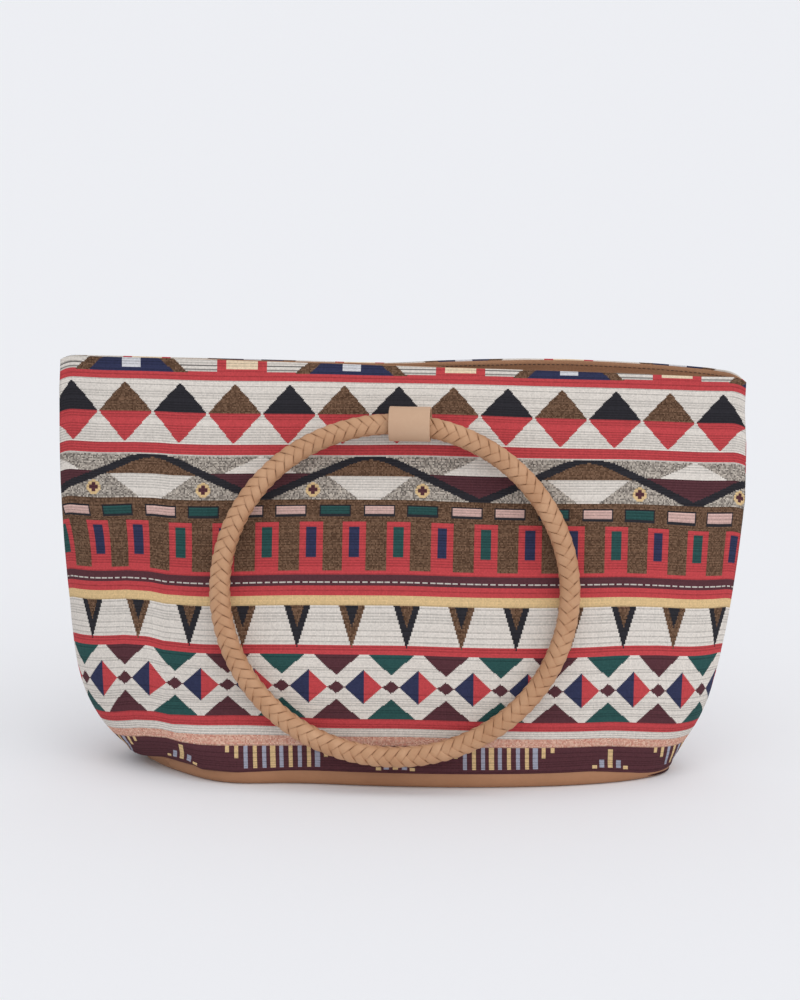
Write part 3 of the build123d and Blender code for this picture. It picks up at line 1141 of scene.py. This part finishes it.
def build_loop(name, side):
    """A leather strap folded round the ring's cord, both ends going in through the panel."""
    path = [*LOOP_TAIL]
    path += [(LOOP_RADIUS * math.cos(a), LOOP_RADIUS * math.sin(a)) for a in np.radians(LOOP_SWEEP)]
    path += [(out, -up) for out, up in LOOP_TAIL[::-1]]
    points = np.zeros((len(path), LOOP_COLUMNS, 3))
    for j, place in enumerate(np.linspace(-1, 1, LOOP_COLUMNS)):
        out, up = np.transpose(path) * (1 + LOOP_FLARE * place * place)
        x = np.full(len(path), LOOP_X + LOOP_HALF_WIDTH * place)
        points[:, j] = by_hinge(side, PANEL_SLOPES[side], x, out, up) + (0, 0, LOOP_LIFT)
    obj = mesh_object(name, points, grid_faces(len(path), LOOP_COLUMNS, flip=side < 0), loop_leather)
    solidify(obj, LOOP_STRAP, 0.0)
    rounded = obj.modifiers.new("edges", "BEVEL")
    rounded.width = LOOP_EDGE * MM
    rounded.segments = LOOP_EDGE_STEPS
    rounded.limit_method = "ANGLE"
    return obj


loops = {-1: build_loop("leather_loop_front", -1), 1: build_loop("leather_loop_back", 1)}

RING_OFFSET = -5.0
RING_HALF_HEIGHT = 107.9955
RING_HALF_WIDTH = 113.881
RING_SAMPLES = 4001
# The braid: straps each way round the cord, crossings along the ring, rows between them, and its turn.
STRAPS = 4
CROSSINGS = 184
STEPS = 4
STRAP_ROWS = CROSSINGS * STEPS
STRAP_PITCH = 7.6
ROW_TURN = 0.3
STRAP_TOP = 6.25
STRAP_SWELL = 0.85
# A strap's section: place across its width from -0.5 to 0.5, and drop below its crown.
STRAP_UNDER = 1.7
STRAP_SECTION = [(-0.495, 1.1), (-0.488, 0.5), (-0.45, 0.16), (-0.36, 0.03), (0.0, 0.0)]
STRAP_SECTION += [(-across, drop) for across, drop in STRAP_SECTION[3::-1]]
STRAP_SECTION += [(0.4, STRAP_UNDER), (-0.4, STRAP_UNDER)]

ring_turn = np.linspace(0, 2 * math.pi, RING_SAMPLES)
ring_step = np.hypot(RING_HALF_WIDTH * np.cos(ring_turn), RING_HALF_HEIGHT * np.sin(ring_turn))
ring_run = np.concatenate([[0], np.cumsum((ring_step[1:] + ring_step[:-1]) / 2 * np.diff(ring_turn))])
# The cord's middle height inside the loop, above the ring's centre, as in the solids.
SOLID_LOOP_HALF_WIDTH = 14.0
loop_ends = [LOOP_X - SOLID_LOOP_HALF_WIDTH, LOOP_X + SOLID_LOOP_HALF_WIDTH]
loop_turns = [math.asin((x - RING_OFFSET) / RING_HALF_WIDTH) for x in loop_ends]
cord_rise = RING_HALF_HEIGHT * sum(math.cos(turn) for turn in loop_turns) / 2


def ring_point(share, angle, radius, side):
    """A point of the cord: share of the way round, angle round the cord and radius from its middle."""
    turn = np.interp((share % 1.0) * ring_run[-1], ring_run, ring_turn)
    middle = np.stack([RING_HALF_WIDTH * np.sin(turn), RING_HALF_HEIGHT * np.cos(turn)], -1)
    out = unit(np.stack([RING_HALF_HEIGHT * np.sin(turn), RING_HALF_WIDTH * np.cos(turn)], -1))
    plane = middle + out * (radius * np.cos(angle))[..., None]
    x = RING_OFFSET + plane[..., 0]
    return by_hinge(side, RING_LEANS[side], x, radius * np.sin(angle), plane[..., 1] - cord_rise)


def build_strap(family, number, side):
    """One strap all the way round the ring: its points, and its places along and across."""
    along = np.arange(STRAP_ROWS) / STEPS
    points = np.zeros((STRAP_ROWS, len(STRAP_SECTION), 3))
    places = np.zeros((STRAP_ROWS, len(STRAP_SECTION), 2))
    for k, (across, drop) in enumerate(STRAP_SECTION):
        own = np.full(STRAP_ROWS, number + across)
        if family == 0:
            one, two = own, along
            over = np.cos(math.pi * (along - number - 0.5) / 2)
        else:
            one, two = along, own
            over = -np.cos(math.pi * (number - along - 0.5) / 2)
        share = (one + two + ROW_TURN) / CROSSINGS
        angle = math.pi * (two + ROW_TURN - one) / STRAPS
        radius = STRAP_TOP + STRAP_SWELL * over - drop
        points[:, k] = ring_point(share, angle, radius, side)
        places[:, k, 0] = along * STRAP_PITCH
        places[:, k, 1] = across
    return points.reshape(-1, 3), places.reshape(-1, 2)


def build_ring(name, side):
    """A ring of eight leather straps braided round, each over two and under two."""
    points = []
    places = []
    faces = []
    wide = len(STRAP_SECTION)
    for family in (0, 1):
        for number in range(STRAPS):
            first = len(points) * STRAP_ROWS * wide
            strap, place = build_strap(family, number, side)
            points.append(strap)
            places.append(place)
            flip = (family == 0) != (side < 0)
            faces += grid_faces(STRAP_ROWS, wide, flip, closed=True, looped=True, first=first)
    return mesh_object(name, np.concatenate(points), faces, ring_material, np.concatenate(places))


rings = {-1: build_ring("braided_ring_front", -1), 1: build_ring("braided_ring_back", 1)}

# The frame's pieces
for obj, node, slot in (
    (cloth_front, "front_panel", "woven_fabric"),
    (cloth_back, "back_panel", "woven_fabric"),
    (lining, "lining", "lining_cloth"),
    (base, "base", "base_leather"),
    (loops[-1], "front_loop", "loop_leather"),
    (loops[1], "back_loop", "loop_leather"),
):
    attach(obj, "bag")
    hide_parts(node)
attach(stitches, "bag")
for side, body in ((-1, "front_ring"), (1, "back_ring")):
    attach(rings[side], body)
    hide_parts(body)

# Floor, light and camera. The floor's reach is in millimetres, and the rest in metres.
FLOOR_REACH = 40000.0
FLOOR_PALE = (0.91, 0.915, 0.94, 1)
FLOOR_DIM = (0.885, 0.89, 0.915, 1)
SKY = (0.97, 0.98, 1.0, 1)
SKY_STRENGTH = 0.72
SUN_STRENGTH = 1.05
SUN_SPREAD = math.radians(80)
SUN_PLACE = (1.2, -1.4, 1.9)
AZIMUTH = math.radians(4.9)
ELEVATION = math.radians(11.0)
DISTANCE = 2.2
TARGET = (-0.0062, 0.0, 0.180)
FRAME_WIDTH = 0.530
SENSOR_MM = 36.0

floor_material, floor_shader = surface("studio_floor", roughness=0.95, specular=0.1)
paper = object_noise(scale=300.0, detail=3.0)
feed(floor_shader.inputs["Base Color"], mix(paper * 0.1, FLOOR_PALE, FLOOR_DIM))
floor_corners = np.array([(-1, -1, 0), (1, -1, 0), (1, 1, 0), (-1, 1, 0)]) * FLOOR_REACH
floor_object = mesh_object("studio_floor", floor_corners, [(0, 1, 2, 3)], floor_material)

scene.world = scene.world or bpy.data.worlds.new("studio")
scene.world.use_nodes = True
background = scene.world.node_tree.nodes["Background"]
background.inputs["Color"].default_value = SKY
background.inputs["Strength"].default_value = SKY_STRENGTH


def aim_at(obj, place, aim):
    """Puts obj at place with its -Z axis towards aim and its Y axis up."""
    obj.location = place
    obj.rotation_euler = (Vector(aim) - Vector(place)).to_track_quat("-Z", "Y").to_euler()


sun_data = bpy.data.lights.new("key", "SUN")
sun_data.energy = SUN_STRENGTH
sun_data.angle = SUN_SPREAD
aim_at(add_object("key", sun_data), SUN_PLACE, (0, 0, 0))

camera_data = bpy.data.cameras.new("camera")
camera_data.sensor_fit = "HORIZONTAL"
camera_data.sensor_width = SENSOR_MM
camera_data.lens = SENSOR_MM * DISTANCE / FRAME_WIDTH
camera = add_object("camera", camera_data)
camera_place = (
    TARGET[0] + DISTANCE * math.cos(ELEVATION) * math.sin(AZIMUTH),
    TARGET[1] - DISTANCE * math.cos(ELEVATION) * math.cos(AZIMUTH),
    TARGET[2] + DISTANCE * math.sin(ELEVATION),
)
aim_at(camera, camera_place, TARGET)
scene.camera = camera
scene.view_settings.view_transform = "Standard"
